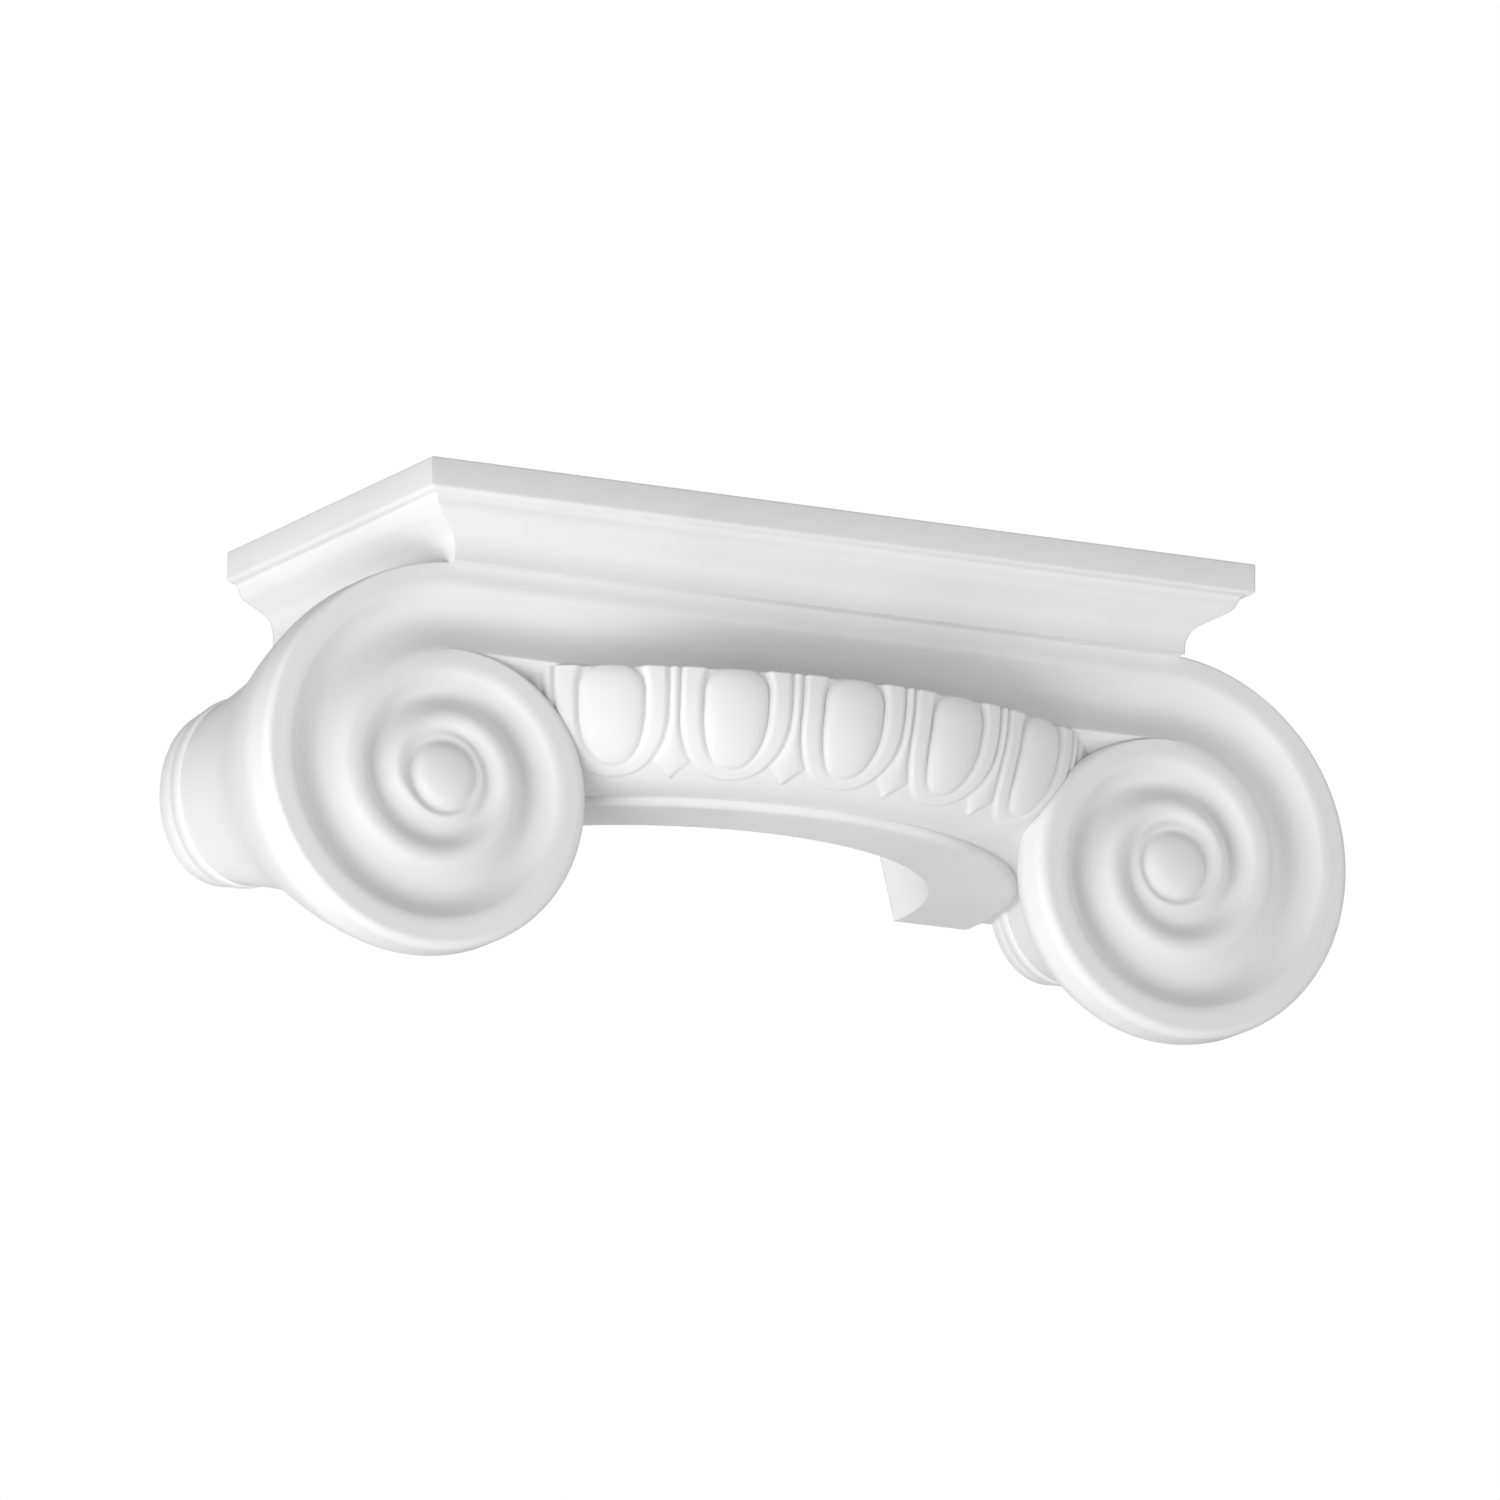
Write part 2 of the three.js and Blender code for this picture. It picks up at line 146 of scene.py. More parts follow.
def makeAbacus(s):
    r = s["edgeRounding"]
    profile = [[r, 0], [r * 0.3, r * 0.3], [0, r], [0, s["fascia"] - r]]
    profile += [[inwards, s["fascia"] + down] for inwards, down in smoothLine(s["fillet"], 3)[:-1]]
    profile += [[inwards, s["fascia"] + down] for inwards, down in smoothLine(s["moulding"], 5)]
    profile.append([profile[-1][0], abacusHeight + s["neckBelow"]])
    loops = []
    for inwards, drop in profile:
        side, front = s["width"] / 2 - inwards, inwards - s["depth"]
        loops.append(at([-side, -side, side, side], [0, front, front, 0], drop))
    return loft("abacus", loops)


voluteSettings = {
    "setback": 22,  # rim plane behind the front of the abacus
    "drop": 2.9,  # top of the rim under the abacus moulding
    "rimRadius": 68,
    "quarterRatio": 0.883,
    "quarterTightening": 0.996,
    "quarters": 10,
    "rimWidth": 7.7,
    "innerRimWidth": 4.2,
    "narrowsBefore": 0.4,  # quarters before a full turn where the rim starts to narrow
    "narrowsOver": 2.4,
    "channelDepth": 8,
    "channelFill": 1.3,  # how much faster the channel narrows than it gets shallow
    "thickness": 13,  # from the rim plane to where the bolster starts to taper
    "eyeRadius": 10.8,
    "eyeGap": 2.4,  # groove round the eye
    "eyeGapDepth": 4,
    "eyeCrown": 3.6,
    "eyeSunk": 0.45,  # share of the crown by which the eye's edge lies behind the rims
    # share of the groove's width out from the eye, share of its depth
    "eyeGroove": [[1, 0], [0.8, 0.8], [0.5, 1], [0.2, 1]],
    # radii on the eye, as shares of its own
    "eyeShares": [1, 0.97, 0.9, 0.8, 0.66, 0.5, 0.34, 0.18, 0.02],
    # share of the channel's width from the rim inwards, share of its depth: outer turn, then inner ones
    "channel": [[0, 0], [0.04, 0.16], [0.1, 0.38], [0.18, 0.64], [0.3, 0.9], [0.44, 1], [0.58, 0.93],
                [0.74, 0.66], [0.9, 0.26], [1, 0]],
    "innerChannel": [[0, 0], [0.05, 0.06], [0.12, 0.2], [0.22, 0.5], [0.38, 0.9], [0.52, 1], [0.66, 0.86],
                     [0.8, 0.52], [0.92, 0.16], [1, 0]],
    "innerFrom": 3,  # quarter from which the channel takes its inner shape, and over how many
    "innerOver": 2,
    "softness": 0.9,  # how far its edges are rounded off, on the outer turn and near the eye
    "innerSoftness": 1.7,
    "softFrom": 30,  # radius where the inner softness starts to give way, and over how much
    "softOver": 30,
    "eyeSharpness": 0.9,  # share of that softness left at the eye, and over how much it comes back
    "eyeSharpnessOver": 6,
    "swell": 1.8,  # its side stands out round the rim, by this much above the eye and more below
    "swellPerQuarter": 0.6,
    "swellDepth": 4,  # over which it rounds out
    "swellEnd": 0.1,  # quarters before a full turn where it has run out
    "swellOver": 0.8,  # quarters over which it comes and goes
    "swellSteps": 150,
    "stepsPerTurn": 160,
    "canalisSteps": 24,
}
rimPlane = voluteSettings["setback"] - abacusSettings["depth"]
eyeDrop = abacusHeight + voluteSettings["drop"] + voluteSettings["rimWidth"] / 2 + voluteSettings["rimRadius"]
turn = 4  # quarters in a turn: 0 above the eye, 1 on its outer side, 2 below, 3 on its inner side
channelCurves = [smoothLine(voluteSettings[name], 3) for name in ("channel", "innerChannel")]


def rimWidthAt(quarter):
    s = voluteSettings
    return mix(s["rimWidth"], s["innerRimWidth"],
               smooth((quarter - turn + s["narrowsBefore"]) / s["narrowsOver"]))


def rimOuter(quarter):
    s = voluteSettings
    middle = s["rimRadius"] * s["quarterRatio"] ** quarter * s["quarterTightening"] ** (quarter ** 2)
    free = middle + rimWidthAt(quarter) / 2
    return mix(free, s["eyeRadius"] + s["eyeGap"], smooth(quarter - s["quarters"] + 1))


def swellAt(quarter):
    s = voluteSettings
    fullness = smooth(quarter / s["swellOver"]) * smooth((turn - s["swellEnd"] - quarter) / s["swellOver"])
    return (s["swell"] + s["swellPerQuarter"] * quarter) * fullness


lipDrop = eyeDrop - rimOuter(turn)


# radii from the outer edge of a rim to that of the next turn, and how deep each lies
def spiralSection(quarter):
    s = voluteSettings
    outer = rimOuter(quarter)
    inner = rimOuter(quarter + turn) if quarter + turn <= s["quarters"] else s["eyeRadius"] + s["eyeGap"]
    rim = min(rimWidthAt(quarter), (outer - inner) / 2)
    acrossRim = np.array([0, 0.25, 0.5, 0.75])
    depth = s["channelDepth"] * clamp((outer - inner) / (rimOuter(0) - rimOuter(turn)) * s["channelFill"])
    curve = mix(*channelCurves, smooth((quarter - s["innerFrom"]) / s["innerOver"]))
    radii = np.append(outer - rim * acrossRim, mix(outer - rim, inner, curve[:, 0]))
    return radii, np.append(np.zeros(len(acrossRim)), curve[:, 1] * depth)


def eyeSection():
    s = voluteSettings
    outwards, deep = np.array(s["eyeGroove"]).T
    shares = np.array(s["eyeShares"])
    steepest = 0.985  # keeps its side from standing upright
    radii = np.append(s["eyeRadius"] + s["eyeGap"] * outwards, s["eyeRadius"] * shares)
    crown = s["eyeCrown"] * (s["eyeSunk"] - np.sqrt(1 - np.minimum(shares, steepest) ** 2))
    return radii, np.append(s["eyeGapDepth"] * deep, crown)


# depths at some radii in one direction from the eye, with every edge across that direction rounded off
def roundedDepths(quarter, radii):
    s = voluteSettings
    turns = np.arange(0, s["quarters"] + 1, turn)
    across = [spiralSection(q) for q in quarter % turn + turns if q <= s["quarters"]]
    allRadii, allDepths = np.concatenate(across + [eyeSection()], axis=1)[:, ::-1]
    reach = mix(s["innerSoftness"], s["softness"], smooth((radii - s["softFrom"]) / s["softOver"]))
    reach *= mix(s["eyeSharpness"], 1, smooth((radii - s["eyeRadius"]) / s["eyeSharpnessOver"]))
    span = 1.5
    offsets = np.linspace(-span, span, 13)
    weights = span + 0.1 - abs(offsets)
    near = np.interp(radii[:, None] + reach[:, None] * offsets, allRadii, allDepths)
    return near @ weights / weights.sum()


# rims, channels, eyes and canalis as one sheet, then drawn back into a solid
def makeVolutes(s):
    perTurn = s["stepsPerTurn"]
    steps = perTurn * s["quarters"] // turn
    points, faces = [], []

    def addSheet(rows):
        first = sum(len(part) for part in points)
        points.append(rows.reshape(-1, 3))
        faces.extend(gridFaces(len(rows), rows.shape[1], first=first))

    for side in (-1, 1):
        def ray(step, radii):
            quarter = step * turn / perTurn
            angle = quarter * math.pi / 2
            across = side * (neckHalf + radii * math.sin(angle))
            return at(across, rimPlane + roundedDepths(quarter, radii), eyeDrop - radii * math.cos(angle))

        addSheet(np.array([ray(i, spiralSection(i * turn / perTurn)[0]) for i in range(steps + 1)]))
        addSheet(np.array([ray(i, eyeSection()[0]) for i in range(steps, steps + perTurn + 1)]))
    radii = spiralSection(0)[0]
    depths = roundedDepths(0, radii)
    canalis = np.linspace(-neckHalf, neckHalf, s["canalisSteps"] + 1)
    addSheet(np.array([at(x, rimPlane + depths, eyeDrop - radii) for x in canalis]))

    same = 1e-7  # points this close are one
    pinhole = 0.05 * mm  # longer than an edge of the hole left in the middle of an eye
    bm = toBmesh(np.concatenate(points), faces)
    bmesh.ops.remove_doubles(bm, verts=bm.verts[:], dist=same)
    bmesh.ops.dissolve_degenerate(bm, edges=bm.edges[:], dist=same)
    atHoles = [e for e in bm.edges if e.is_boundary and e.calc_length() < pinhole]
    bmesh.ops.holes_fill(bm, edges=atHoles, sides=0)
    made = bmesh.ops.extrude_edge_only(bm, edges=[e for e in bm.edges if e.is_boundary])["geom"]
    for vert in (item for item in made if isinstance(item, bmesh.types.BMVert)):
        vert.co.y = (rimPlane + s["thickness"]) * mm
    back = [item for item in made if isinstance(item, bmesh.types.BMEdge) and item.is_boundary]
    caps = bmesh.ops.contextual_create(bm, geom=back)["faces"]
    bmesh.ops.triangulate(bm, faces=caps)
    return toObject(bm, "volutes")


# a collar behind the rim's edge, where the volute's side rounds out
def makeSwell(s, side):
    first, last = 0.02, turn - 0.12  # quarters, both where it lies inside the volute
    sunk = 0.03  # its front edge lies this far inside that of the rim
    reach = 4  # and its inner side this far
    front, back = 1, s["thickness"] - 0.5
    turned = np.linspace(0, math.pi / 2, 9)
    loops = []
    for quarter in np.linspace(first, last, s["swellSteps"]):
        inner = rimOuter(quarter) - reach
        outward = rimOuter(quarter) - sunk + swellAt(quarter) * np.sin(turned)
        radii = np.concatenate([[inner], outward, [outward[-1], inner]])
        depths = np.concatenate([[front], sunk + s["swellDepth"] * (1 - np.cos(turned)), [back, back]])
        angle = quarter * math.pi / 2
        loops.append(at(side * (neckHalf + radii * math.sin(angle)), rimPlane + depths,
                        eyeDrop - radii * math.cos(angle)))
    return loft("swell", loops)


bolsterSettings = {
    "halfWidth": 19.9,  # of the oval end at the wall
    "halfHeight": 28,
    "spread": 20.2,  # oval's centre outside the eye
    "rise": 15.2,  # and above it
    "inset": 0.02,  # its outline inside that of the volute
    "band": 20,  # beaded band next to the wall
    "beadHeight": 1.7,
    # share of the way from volute to band, share of the volute's outline
    "bell": [[0, 1], [0.05, 0.985], [0.12, 0.925], [0.22, 0.82], [0.34, 0.675], [0.45, 0.53], [0.54, 0.425],
             [0.62, 0.345], [0.7, 0.28], [0.82, 0.205], [1, 0.105]],
    # share of the band's length, share of the beads' height
    "beads": [[0, 0.15], [0.03, 0.5], [0.09, 0.8], [0.17, 0.95], [0.25, 1], [0.33, 0.9], [0.39, 0.7],
              [0.44, 0.6], [0.5, 0.62], [0.56, 0.8], [0.63, 0.95], [0.7, 1], [0.88, 1], [0.96, 0.9],
              [1, 0.75]],
    "around": 132,
}


def makeBolster(s, side):
    quarters = np.arange(s["around"]) * turn / s["around"]
    sine, cosine = np.sin(quarters * math.pi / 2), np.cos(quarters * math.pi / 2)
    leadFrom = 3.4  # from here its outline goes back up to its start, inside the body
    back = smooth((quarters - leadFrom) / (turn - leadFrom))
    outline = mix(rimOuter(quarters) + swellAt(quarters), rimOuter(0), back) - s["inset"]

    def loop(y, share, swell):
        spread = mix(s["spread"] + (s["halfWidth"] + swell) * sine, outline * sine, share)
        rise = mix(s["rise"] + (s["halfHeight"] + swell) * cosine, outline * cosine, share)
        return at(side * (neckHalf + spread), y, eyeDrop - rise)

    start = rimPlane + voluteSettings["thickness"] - 2 * embed
    loops = [loop(mix(start, -s["band"], along), share, 0)
             for along, share in smoothLine(s["bell"], 4, levelStart=True)]
    endShare = s["bell"][-1][1]
    loops += [loop(-s["band"] * (1 - along), endShare * (1 - along), s["beadHeight"] * swell)
              for along, swell in s["beads"]]
    return loft("bolster", loops)


echinusSettings = {
    "projection": 9.2,  # foremost point in front of the abacus
    "radius": 175,
    "height": 37,
    "depth": 60,  # from its face back into the block
    "lipReveal": 0.9,  # lip under the lower edge of the canalis
    "lipWidth": 18,  # over which its top slopes up to the canalis
    "lipRise": 1.2,
    "turnIn": 26,  # half axes of the ellipse that its profile follows
    "reach": 39.5,
    "eggs": 7,
    "eggAngle": 14,  # degrees from one egg to the next
    "eggHalfWidth": 11,
    "eggLength": 32.5,
    "eggWaist": 14,  # down from the lip, where it starts to round off
    "eggShoulder": 9,  # and where its top does
    "eggTopShare": 0.9,  # how far its oval has closed at the lip
    "eggFullness": 0.45,
    "roundness": 2.3,  # 2 would make the eggs' outline an ellipse
    "cupPinch": 0.15,  # share of its width that the shells' hollow loses up to the lip
    "shellLength": 36.5,
    "relief": 2.6,  # from the ground to the eggs, at the lip and at the foot
    "footRelief": 6,
    "grooveDepth": 3.2,  # between egg and shell
    "leastGroove": 0.4,  # least depth of that groove under the shell's crest
    "shellRise": 1.5,
    "shellInside": 0.34,  # share of the shell's width that rises from the groove
    "shellEdge": 0.16,  # and that falls to the ground
    "shellLean": 1.4,  # above 1, its crest lies further out from the egg
    "dartRise": 1.5,
    "dartFullness": 0.6,
    "dartLength": 36.6,
    "dartHalfWidth": 1.4,
    "dartGap": 0.4,  # between a dart and the shells on both sides
    "dartHeadHalfWidth": 6.4,
    "dartPoint": 1.2,  # half width of its point for each millimetre up from the tip
    "stepsPerEgg": 72,
    "stepsDown": 72,
    "crowding": 0.6,  # how strongly its rows crowd towards the foot
    "lastRow": 0.995,  # share of the height
}
echinusTop = lipDrop + echinusSettings["lipReveal"]
undersideDrop = echinusTop + echinusSettings["height"]
echinusCentre = echinusSettings["radius"] - abacusSettings["depth"] - echinusSettings["projection"]
eggPitchAngle = math.radians(echinusSettings["eggAngle"])
eggPitch = echinusSettings["radius"] * eggPitchAngle


# how far egg, shell and dart lie under the eggs' crest, sideways from an egg's middle and down from the lip
def eggAndDart(s, sideways, down):
    shellHalfWidth = eggPitch / 2 - s["dartHalfWidth"] - s["dartGap"]
    roundness = s["roundness"]
    pastEgg = np.maximum(0, down - s["eggWaist"]) / (s["eggLength"] - s["eggWaist"])
    pastShell = np.maximum(0, down - s["eggWaist"]) / (s["shellLength"] - s["eggWaist"])
    nearLip = np.maximum(0, 1 - down / s["eggShoulder"])
    pinch = 1 - s["cupPinch"] * nearLip ** 2
    across, below = abs(sideways / s["eggHalfWidth"]), pastEgg ** roundness
    egg = (across ** roundness + below + (nearLip * s["eggTopShare"]) ** roundness) ** (1 / roundness)
    cup = ((across / pinch) ** roundness + below) ** (1 / roundness)
    shell = (abs(sideways / shellHalfWidth) ** roundness + pastShell ** roundness) ** (1 / roundness)
    ground = mix(s["relief"], s["footRelief"], (down / s["height"]) ** 4)
    crest = ground - s["shellRise"]
    groove = np.maximum(s["grooveDepth"], crest + s["leastGroove"])
    eggSunk = groove * (1 - (1 - np.minimum(1, egg) ** 2) ** s["eggFullness"])
    past = np.maximum(0, cup - 1)
    share = past / np.maximum(1e-6, past + np.maximum(0, 1 - shell) * s["shellLean"])
    fall = smooth((share - (1 - s["shellEdge"])) / s["shellEdge"])
    shellSunk = np.where(share < 0.5, mix(groove, crest, smooth(share / s["shellInside"])),
                         mix(crest, ground, fall))
    space = eggPitch / 2 - shellHalfWidth * (1 - np.minimum(1, pastShell) ** roundness) ** (1 / roundness)
    halfWidth = np.minimum(np.minimum(space - s["dartGap"], s["dartHeadHalfWidth"]),
                           (s["dartLength"] - down) * s["dartPoint"])
    offset = (eggPitch / 2 - abs(sideways)) / np.maximum(0.01, halfWidth)
    dartSunk = ground - s["dartRise"] * np.maximum(0, 1 - offset ** 2) ** s["dartFullness"] * (halfWidth > 0)
    return np.where(egg < 1, eggSunk, np.where(shell < 1, shellSunk, dartSunk))


def makeEchinus(s):
    columns = np.arange(s["eggs"] * s["stepsPerEgg"] + 1) / s["stepsPerEgg"] - 0.5
    even = np.linspace(0, 1, s["stepsDown"])
    crowded = smooth(even * 0.5 + 0.5) * 2 - 1
    down = mix(even, crowded, s["crowding"]) * s["height"] * s["lastRow"]
    reach = np.sqrt(1 - (down / s["reach"]) ** 2)
    slope = s["turnIn"] * down / s["reach"] ** 2 / reach
    tilt = np.hypot(1, slope)
    loops = []
    for column in columns:
        angle = (column - (s["eggs"] - 1) / 2) * eggPitchAngle
        sideways = (column - round(column)) * eggPitch
        sunk = eggAndDart(s, sideways, down)
        radii = s["radius"] - s["turnIn"] * (1 - reach) - sunk / tilt
        drops = echinusTop + down - sunk * slope / tilt / 2
        inner = s["radius"] - s["depth"]
        lip, foot = s["radius"] - s["lipWidth"], s["radius"] - s["turnIn"]
        radii = np.concatenate([[inner, lip], radii, [foot, inner]])
        drops = np.concatenate([[echinusTop - s["lipRise"]] * 2, drops, [undersideDrop] * 2])
        loops.append(at(radii * math.sin(angle), echinusCentre - radii * math.cos(angle), drops))
    return loft("echinus", loops)


seatSettings = {
    "socketRadius": 100,
    "socketTopRadius": 91,
    "socketDepth": 35,
    "radius": 130,
    "height": 3,
    "upright": 0.3,  # share of the height before the lower edge rounds in
    "rounding": 3,
    "around": 128,
}


# a half-round solid through radii and drops, drawn past the wall plane by its overhang
def halfRound(s, name, levels, overhang):
    angles = math.pi * (np.arange(s["around"] + 1) / s["around"] - 0.5)
    loops = []
    for radius, drop in levels:
        across, depth = radius * np.sin(angles), -radius * np.cos(angles)
        if overhang > 0:
            across, depth = np.append(across, [radius, -radius]), np.append(depth, [overhang, overhang])
        loops.append(at(across, depth, drop))
    return loft(name, loops)


def makeSeat(s):
    upright = s["upright"]
    levels = [[s["radius"], undersideDrop - embed], [s["radius"], undersideDrop + s["height"] * upright]]
    for angle in np.linspace(0.15, 1, 7) * math.pi / 2:
        levels.append([s["radius"] - s["rounding"] * (1 - math.cos(angle)),
                       undersideDrop + s["height"] * (upright + (1 - upright) * math.sin(angle))])
    return halfRound(s, "seat", levels, 0)


def makeSocket(s):
    taper = (s["socketRadius"] - s["socketTopRadius"]) / s["socketDepth"]
    mouth = undersideDrop + s["height"]
    levels = [[s["socketTopRadius"], mouth - s["socketDepth"]], [s["socketRadius"], mouth],
              [s["socketRadius"] + taper * embed, mouth + embed]]
    return halfRound(s, "socket", levels, embed)


coreSettings = {
    "front": 107,  # of the block behind the echinus
    "webDepth": 12,  # the soffit of the canalis slopes back this far, down to the echinus
    "webHeight": 12,
    "webSetback": 0.4,  # behind the rim plane
}


def makeCore(s):
    behindCanalis = rimPlane + voluteSettings["thickness"] - embed
    levels = [(behindCanalis, abacusHeight - embed), (behindCanalis, lipDrop - embed),
              (-s["front"], lipDrop - embed), (-s["front"], undersideDrop)]
    corners = [-neckHalf, -neckHalf, neckHalf, neckHalf]
    return loft("core", [at(corners, [0, front, front, 0], drop) for front, drop in levels])


def makeWeb(s):
    back, behindCanalis = embed - s["front"], rimPlane + voluteSettings["thickness"] - embed
    depths = [rimPlane + s["webSetback"], rimPlane + s["webDepth"], back, back, behindCanalis]
    drops = lipDrop + np.array([0, s["webHeight"], s["webHeight"], -2 * embed, -2 * embed])
    return loft("web", [at(x, depths, drops) for x in (-neckHalf, neckHalf)])


capital = makeCore(coreSettings)
for form in (makeWeb(coreSettings), makeAbacus(abacusSettings), makeEchinus(echinusSettings),
             makeSeat(seatSettings), makeVolutes(voluteSettings),
             makeSwell(voluteSettings, -1), makeSwell(voluteSettings, 1),
             makeBolster(bolsterSettings, -1), makeBolster(bolsterSettings, 1)):
    combine(capital, form, "UNION")
combine(capital, makeSocket(seatSettings), "DIFFERENCE")
capital.name = "capitalMoulding"
capital.data.name = "capitalMoulding"
capital.data.shade_smooth()
sharpFrom = 34  # degrees between two faces
capital.data.set_sharp_from_angle(angle=math.radians(sharpFrom))
print("moulding made,", sum(len(face.vertices) - 2 for face in capital.data.polygons), "triangles")


def hexToLinear(code):
    channels = [int(code[i:i + 2], 16) / 255 for i in (1, 3, 5)]
    linear = [c / 12.92 if c <= 0.04045 else ((c + 0.055) / 1.055) ** 2.4 for c in channels]
    return (*linear, 1.0)


# adds a node with its settings, the fixed values of its sockets and what feeds them
def addNode(tree, kind, settings=None, values=None, links=None):
    node = tree.nodes.new(kind)
    for key, value in (settings or {}).items():
        setattr(node, key, value)
    for socket, value in (values or {}).items():
        node.inputs[socket].default_value = value
    for socket, source in (links or {}).items():
        tree.links.new(source, node.inputs[socket])
    return node


def newMaterial(name):
    material = bpy.data.materials.new(name)
    material.use_nodes = True
    material.node_tree.nodes.clear()
    return material


foamSettings = {
    "primer": "#EBEBEB",
    "primerThin": "#E6E6E6",  # where the coat is a little thinner
    "rawFoam": "#DDD0AC",
    "rawFoamDark": "#CDBE96",
    "roughness": [0.5, 0.62],
    "ior": 1.47,
    "specular": 0.35,
    "edgeRounding": 1.1,
    "cloudSize": 70,  # of the thinner and thicker patches of the coat
    # size of a pattern, its depth and its strength, all but the last in millimetres
    "wave": [28, 0.35, 0.25],
    "peel": [1.6, 0.06, 0.12],
    "cell": [0.9, 0.25, 0.5],
    "cutFrom": 0.12,  # the back is bare up to this far from the wall plane
}


# Rigid polyurethane foam, cast in a mould and sprayed with white primer: an even, slightly soft matt
# white, a faint orange peel from the spray, and edges that the coat rounds off. The back, cut flat and
# left bare, is cream foam with fine cells.
def makePrimedFoam(s):
    material = newMaterial("moulded primed polyurethane")
    tree = material.node_tree
    place = addNode(tree, "ShaderNodeTexCoord").outputs["Object"]

    def noise(size, detail):
        return addNode(tree, "ShaderNodeTexNoise", values={"Scale": 1 / (size * mm), "Detail": detail},
                       links={"Vector": place}).outputs["Fac"]

    def bump(pattern, height, normal):
        _, deep, strength = pattern
        return addNode(tree, "ShaderNodeBump", values={"Strength": strength, "Distance": deep * mm},
                       links={"Height": height, "Normal": normal}).outputs["Normal"]

    def mixColours(values=None, links=None):
        return addNode(tree, "ShaderNodeMix", {"data_type": "RGBA"}, values, links).outputs[2]

    def mathNode(operation, values=None, links=None):
        return addNode(tree, "ShaderNodeMath", {"operation": operation}, values, links).outputs["Value"]

    clouds = addNode(tree, "ShaderNodeMapRange", values={"From Min": 0.35, "From Max": 0.65},
                     links={"Value": noise(s["cloudSize"], 3)}).outputs["Result"]
    coat = mixColours({6: hexToLinear(s["primerThin"]), 7: hexToLinear(s["primer"])}, {"Factor": clouds})
    cells = addNode(tree, "ShaderNodeTexVoronoi", values={"Scale": 1 / (s["cell"][0] * mm)},
                    links={"Vector": place}).outputs["Distance"]
    cellShade = addNode(tree, "ShaderNodeMapRange", values={"From Max": 0.5},
                        links={"Value": cells}).outputs["Result"]
    bare = mixColours({6: hexToLinear(s["rawFoamDark"]), 7: hexToLinear(s["rawFoam"])}, {"Factor": cellShade})
    depth = addNode(tree, "ShaderNodeSeparateXYZ", links={"Vector": place}).outputs["Y"]
    onBack = mathNode("GREATER_THAN", {1: -s["cutFrom"] * mm}, {0: depth})
    colour = mixColours(links={"Factor": onBack, 6: coat, 7: bare})
    smoothest, roughest = s["roughness"]
    gloss = addNode(tree, "ShaderNodeMapRange", values={"To Min": smoothest, "To Max": roughest},
                    links={"Value": noise(s["wave"][0], 2)}).outputs["Result"]

    edges = addNode(tree, "ShaderNodeBevel", {"samples": 6},
                    {"Radius": s["edgeRounding"] * mm}).outputs["Normal"]
    waves = bump(s["wave"], noise(s["wave"][0], 1), edges)
    peel = bump(s["peel"], noise(s["peel"][0], 2), waves)
    relief = bump(s["cell"], mathNode("MULTIPLY", links={0: cells, 1: onBack}), peel)
    shader = addNode(tree, "ShaderNodeBsdfPrincipled",
                     values={"IOR": s["ior"], "Specular IOR Level": s["specular"]},
                     links={"Base Color": colour, "Roughness": gloss, "Normal": relief})
    addNode(tree, "ShaderNodeOutputMaterial", links={"Surface": shader.outputs["BSDF"]})
    return material


capital.data.materials.clear()
capital.data.materials.append(makePrimedFoam(foamSettings))
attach(capital, "root")
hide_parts("half_capital")
print("primer on")


studioSettings = {
    "floor": "#EFEFEF",
    "floorRoughness": 0.8,
    "floorReach": 30,  # metres
    "floorDrop": 1480,  # below the origin: it hangs on a wall, well over the floor
    "world": "#FFFFFF",
    "worldStrength": 0.31,
    "backgroundStrength": 1.0,
    # where each light stands from the part's middle, in metres; its size and its power
    "lights": {
        "softboxLeft": [(-2.2, -0.1, -0.9), 1.3, 22],
        "softboxLow": [(-1.6, -1.3, -1.0), 1.3, 32],
        "softboxRight": [(1.85, -1.4, -0.35), 1.6, 15],
        "softboxTop": [(0.5, -0.2, 2.6), 2.0, 13],
    },
}


# A plain matt painted floor: pale, without a pattern, so it gives an even light from below.
def makeFloor(s):
    bm = bmesh.new()
    bmesh.ops.create_grid(bm, x_segments=8, y_segments=8, size=s["floorReach"])
    bmesh.ops.translate(bm, vec=(0, 0, -s["floorDrop"] * mm), verts=bm.verts[:])
    floor = toObject(bm, "floor")
    material = newMaterial("matt painted floor")
    tree = material.node_tree
    shader = addNode(tree, "ShaderNodeBsdfPrincipled",
                     values={"Base Color": hexToLinear(s["floor"]), "Roughness": s["floorRoughness"]})
    addNode(tree, "ShaderNodeOutputMaterial", links={"Surface": shader.outputs["BSDF"]})
    floor.data.materials.append(material)


def makeLights(s, middle):
    for name, (place, size, power) in s["lights"].items():
        light = bpy.data.lights.new(name, "AREA")
        light.shape, light.size, light.energy = "SQUARE", size, power
        lamp = bpy.data.objects.new(name, light)
        lamp.location = middle + Vector(place)
        lamp.rotation_euler = (-Vector(place)).to_track_quat("-Z", "Y").to_euler()
        bpy.context.scene.collection.objects.link(lamp)


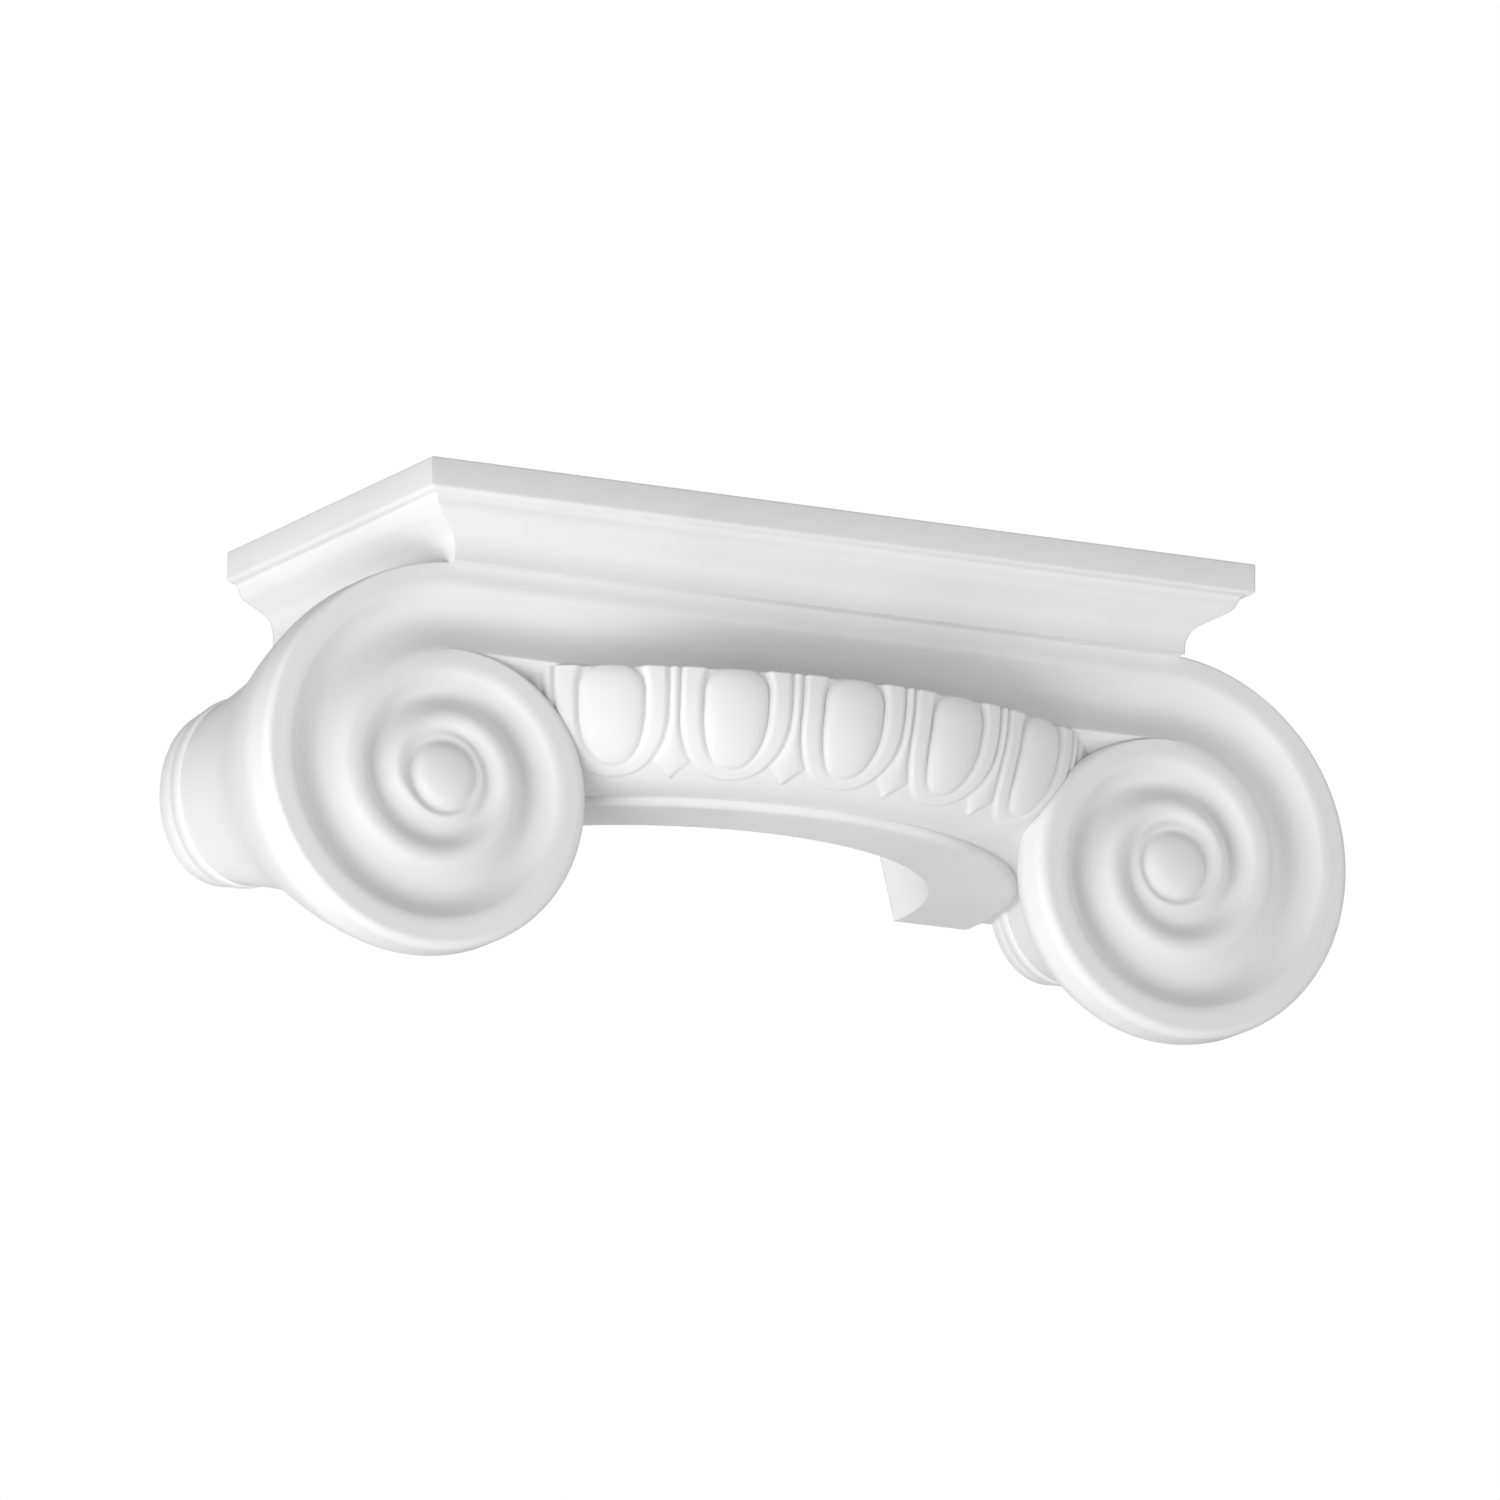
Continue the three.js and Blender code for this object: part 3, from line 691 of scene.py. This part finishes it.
# an even pale room: bright where the camera looks at it, softer where it lights the part
def makeWorld(s):
    world = bpy.data.worlds.new("pale room")
    bpy.context.scene.world = world
    world.use_nodes = True
    tree = world.node_tree
    tree.nodes.clear()
    seen = addNode(tree, "ShaderNodeLightPath").outputs["Is Camera Ray"]
    strength = addNode(tree, "ShaderNodeMapRange",
                       values={"To Min": s["worldStrength"], "To Max": s["backgroundStrength"]},
                       links={"Value": seen}).outputs["Result"]
    room = addNode(tree, "ShaderNodeBackground", values={"Color": hexToLinear(s["world"])},
                   links={"Strength": strength})
    addNode(tree, "ShaderNodeOutputWorld", links={"Surface": room.outputs["Background"]})


cameraSettings = {
    "target": (0, -81.67, -52.33),
    "yaw": -0.4769,  # radians: round to its left, up from below, and a trace of roll
    "pitch": -0.2235,
    "roll": 0.0089,
    "distance": 5967,
    "focalPixels": 17758,  # in a 1500 pixel frame
    "targetPixel": (745.3, 796.6),
    "frame": 1500,
    "sensorWidth": 36,
    "clipEnd": 100,  # metres
}


def makeCamera(s):
    yaw, pitch = s["yaw"], s["pitch"]
    back = Vector((math.sin(yaw) * math.cos(pitch), -math.cos(yaw) * math.cos(pitch), math.sin(pitch)))
    right = Vector((math.cos(yaw), math.sin(yaw), 0))
    up = back.cross(right)
    across = right * math.cos(s["roll"]) + up * math.sin(s["roll"])
    above = up * math.cos(s["roll"]) - right * math.sin(s["roll"])
    data = bpy.data.cameras.new("camera")
    data.sensor_width = s["sensorWidth"]
    data.lens = s["focalPixels"] / s["frame"] * data.sensor_width
    data.shift_x = 0.5 - s["targetPixel"][0] / s["frame"]
    data.shift_y = s["targetPixel"][1] / s["frame"] - 0.5
    data.clip_end = s["clipEnd"]
    camera = bpy.data.objects.new("camera", data)
    turned = Matrix((across, above, back)).transposed().to_4x4()
    camera.matrix_world = Matrix.Translation((Vector(s["target"]) + back * s["distance"]) * mm) @ turned
    bpy.context.scene.collection.objects.link(camera)
    bpy.context.scene.camera = camera


makeFloor(studioSettings)
makeLights(studioSettings, Vector(cameraSettings["target"]) * mm)
makeWorld(studioSettings)
makeCamera(cameraSettings)
bpy.context.scene.view_settings.view_transform = "Standard"
print("studio lit")
